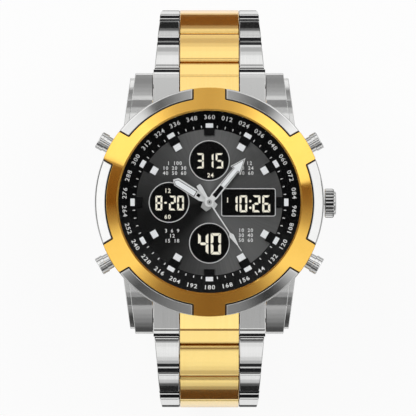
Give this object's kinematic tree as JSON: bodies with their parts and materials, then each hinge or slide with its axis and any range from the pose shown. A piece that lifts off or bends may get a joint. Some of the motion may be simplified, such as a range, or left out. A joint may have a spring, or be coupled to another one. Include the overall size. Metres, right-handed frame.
{
  "type": "wristwatch",
  "caption": "Round steel and gold-tone wristwatch with hands, small displays, side pushers, a crown and a folding linked bracelet, standing on its closed clasp",
  "frame": {"origin": "centre of the case back's outer face", "axes": "+Z out of the dial through the crystal, +Y towards 12 o'clock along the band, +X towards 3 o'clock"},
  "size_m": [0.0485, 0.0818, 0.0579],
  "materials": {
    "polished_steel": "polished",
    "gold_plating": "gold plated, brushed",
    "mineral_glass": "clear",
    "black_lacquer": "satin",
    "dial_lacquer": "sunray",
    "display_glass": "gloss",
    "module_plastic": "matt",
    "board": "satin",
    "spring_brass": "plain"
  },
  "bodies": {
    "case": {"mid_case": "polished_steel", "case_back": "polished_steel", "bezel": "gold_plating", "bezel_inserts": "polished_steel", "crystal": "mineral_glass", "chapter_ring": "black_lacquer", "dial": "dial_lacquer", "hour_markers": "black_lacquer", "window_frames": "polished_steel", "lcd_panel": "display_glass", "movement_holder": "module_plastic", "digital_module": "board", "analog_movement": "module_plastic", "coin_cells": "polished_steel", "contact_springs": "spring_brass", "spring_bars": "polished_steel", "end_link_sides": "polished_steel", "end_link_centres": "gold_plating"},
    "hour": {"hour_hand": "polished_steel"},
    "minute": {"minute_hand": "polished_steel"},
    "second": {"second_hand": "polished_steel"},
    "setting": {"setting_lever": "polished_steel"},
    "winding_crown": {"crown": "polished_steel", "stem": "polished_steel"},
    "clasp_outer": {"clasp_cover": "polished_steel"},
    "clasp_middle": {"clasp_middle_blade": "polished_steel"},
    "clasp_inner": {"clasp_inner_blade": "polished_steel"},
    "release_right": {"clasp_button_right": "polished_steel"},
    "release_left": {"clasp_button_left": "polished_steel"},
    "push_2": {"pusher_2": "polished_steel"},
    "push_4": {"pusher_4": "polished_steel"},
    "push_8": {"pusher_8": "polished_steel"},
    "push_10": {"pusher_10": "polished_steel"},
    "band_12_1": {"link_12_1_sides": "polished_steel", "link_12_1_centre": "gold_plating"},
    "band_12_2": {"link_12_2_sides": "polished_steel", "link_12_2_centre": "gold_plating"},
    "band_12_3": {"link_12_3_sides": "polished_steel", "link_12_3_centre": "gold_plating"},
    "band_12_4": {"link_12_4_sides": "polished_steel", "link_12_4_centre": "gold_plating"},
    "band_12_5": {"link_12_5_sides": "polished_steel", "link_12_5_centre": "gold_plating"},
    "band_12_6": {"link_12_6_sides": "polished_steel", "link_12_6_centre": "gold_plating"},
    "band_6_1": {"link_6_1_sides": "polished_steel", "link_6_1_centre": "gold_plating"},
    "band_6_2": {"link_6_2_sides": "polished_steel", "link_6_2_centre": "gold_plating"},
    "band_6_3": {"link_6_3_sides": "polished_steel", "link_6_3_centre": "gold_plating"},
    "band_6_4": {"link_6_4_sides": "polished_steel", "link_6_4_centre": "gold_plating"},
    "band_6_5": {"link_6_5_sides": "polished_steel", "link_6_5_centre": "gold_plating"},
    "band_6_6": {"link_6_6_sides": "polished_steel", "link_6_6_centre": "gold_plating"}
  },
  "joints": [
    {"name": "link_12_1_hinge", "type": "hinge", "parent": "case", "child": "band_12_1", "pos_m": [0, 0.027, 0.004], "axis": [1, 0, 0], "range_deg": [0, 50]},
    {"name": "link_12_2_hinge", "type": "hinge", "parent": "band_12_1", "child": "band_12_2", "pos_m": [0, 0.03343, -0.00366], "axis": [1, 0, 0], "range_deg": [0, 18]},
    {"name": "link_12_3_hinge", "type": "hinge", "parent": "band_12_2", "child": "band_12_3", "pos_m": [0, 0.03812, -0.01249], "axis": [1, 0, 0], "range_deg": [0, 26]},
    {"name": "link_12_4_hinge", "type": "hinge", "parent": "band_12_3", "child": "band_12_4", "pos_m": [0, 0.03951, -0.02239], "axis": [1, 0, 0], "range_deg": [0, 30]},
    {"name": "link_12_5_hinge", "type": "hinge", "parent": "band_12_4", "child": "band_12_5", "pos_m": [0, 0.03676, -0.03201], "axis": [1, 0, 0], "range_deg": [0, 32]},
    {"name": "link_12_6_hinge", "type": "hinge", "parent": "band_12_5", "child": "band_12_6", "pos_m": [0, 0.03007, -0.03944], "axis": [1, 0, 0], "range_deg": [0, 32]},
    {"name": "link_6_1_hinge", "type": "hinge", "parent": "case", "child": "band_6_1", "pos_m": [0, -0.027, 0.004], "axis": [1, 0, 0], "range_deg": [-50, 0]},
    {"name": "link_6_2_hinge", "type": "hinge", "parent": "band_6_1", "child": "band_6_2", "pos_m": [0, -0.03343, -0.00366], "axis": [1, 0, 0], "range_deg": [-18, 0]},
    {"name": "link_6_3_hinge", "type": "hinge", "parent": "band_6_2", "child": "band_6_3", "pos_m": [0, -0.03812, -0.01249], "axis": [1, 0, 0], "range_deg": [-26, 0]},
    {"name": "link_6_4_hinge", "type": "hinge", "parent": "band_6_3", "child": "band_6_4", "pos_m": [0, -0.03951, -0.02239], "axis": [1, 0, 0], "range_deg": [-30, 0]},
    {"name": "link_6_5_hinge", "type": "hinge", "parent": "band_6_4", "child": "band_6_5", "pos_m": [0, -0.03676, -0.03201], "axis": [1, 0, 0], "range_deg": [-32, 0]},
    {"name": "link_6_6_hinge", "type": "hinge", "parent": "band_6_5", "child": "band_6_6", "pos_m": [0, -0.03007, -0.03944], "axis": [1, 0, 0], "range_deg": [-32, 0]},
    {"name": "clasp_end_hinge", "type": "hinge", "parent": "band_6_6", "child": "clasp_outer", "pos_m": [0, -0.02079, -0.04318], "axis": [1, 0, 0], "range_deg": [-28, 0]},
    {"name": "clasp_middle_fold", "type": "hinge", "parent": "clasp_outer", "child": "clasp_middle", "pos_m": [0, 0.01729, -0.04318], "axis": [1, 0, 0], "range_deg": [-95, 0]},
    {"name": "clasp_inner_fold", "type": "hinge", "parent": "clasp_middle", "child": "clasp_inner", "pos_m": [0, -0.01729, -0.04318], "axis": [1, 0, 0], "range_deg": [0, 110]},
    {"name": "release_right_press", "type": "slide", "parent": "clasp_outer", "child": "release_right", "axis": [-1, 0, 0], "range_m": [0, 0.0007], "stiffness_N_per_m": 1500, "springref_m": -0.0006},
    {"name": "release_left_press", "type": "slide", "parent": "clasp_outer", "child": "release_left", "axis": [1, 0, 0], "range_m": [0, 0.0007], "stiffness_N_per_m": 1500, "springref_m": -0.0006},
    {"name": "pusher_2_press", "type": "slide", "parent": "case", "child": "push_2", "axis": [-0.866, -0.5, 0], "range_m": [0, 0.0008], "stiffness_N_per_m": 1500, "springref_m": -0.0006},
    {"name": "pusher_4_press", "type": "slide", "parent": "case", "child": "push_4", "axis": [-0.866, 0.5, 0], "range_m": [0, 0.0008], "stiffness_N_per_m": 1500, "springref_m": -0.0006},
    {"name": "pusher_8_press", "type": "slide", "parent": "case", "child": "push_8", "axis": [0.866, 0.5, 0], "range_m": [0, 0.0008], "stiffness_N_per_m": 1500, "springref_m": -0.0006},
    {"name": "pusher_10_press", "type": "slide", "parent": "case", "child": "push_10", "axis": [0.866, -0.5, 0], "range_m": [0, 0.0008], "stiffness_N_per_m": 1500, "springref_m": -0.0006},
    {"name": "crown_pull", "type": "slide", "parent": "case", "child": "setting", "axis": [1, 0, 0], "range_m": [0, 0.0012]},
    {"name": "crown_turn", "type": "hinge", "parent": "setting", "child": "winding_crown", "pos_m": [0.0232, 0, 0.0046], "axis": [1, 0, 0], "continuous": true},
    {"name": "second_turn", "type": "hinge", "parent": "case", "child": "second", "pos_m": [0, 0, 0.0099], "axis": [0, 0, 1], "continuous": true},
    {"name": "minute_turn", "type": "hinge", "parent": "case", "child": "minute", "pos_m": [0, 0, 0.00945], "axis": [0, 0, 1], "continuous": true},
    {"name": "hour_turn", "type": "hinge", "parent": "case", "child": "hour", "pos_m": [0, 0, 0.009], "axis": [0, 0, 1], "continuous": true}
  ],
  "couplings": [
    {"joint": "minute_turn", "follows": "second_turn", "ratio": 0.016667},
    {"joint": "hour_turn", "follows": "second_turn", "ratio": 0.0013889}
  ]
}
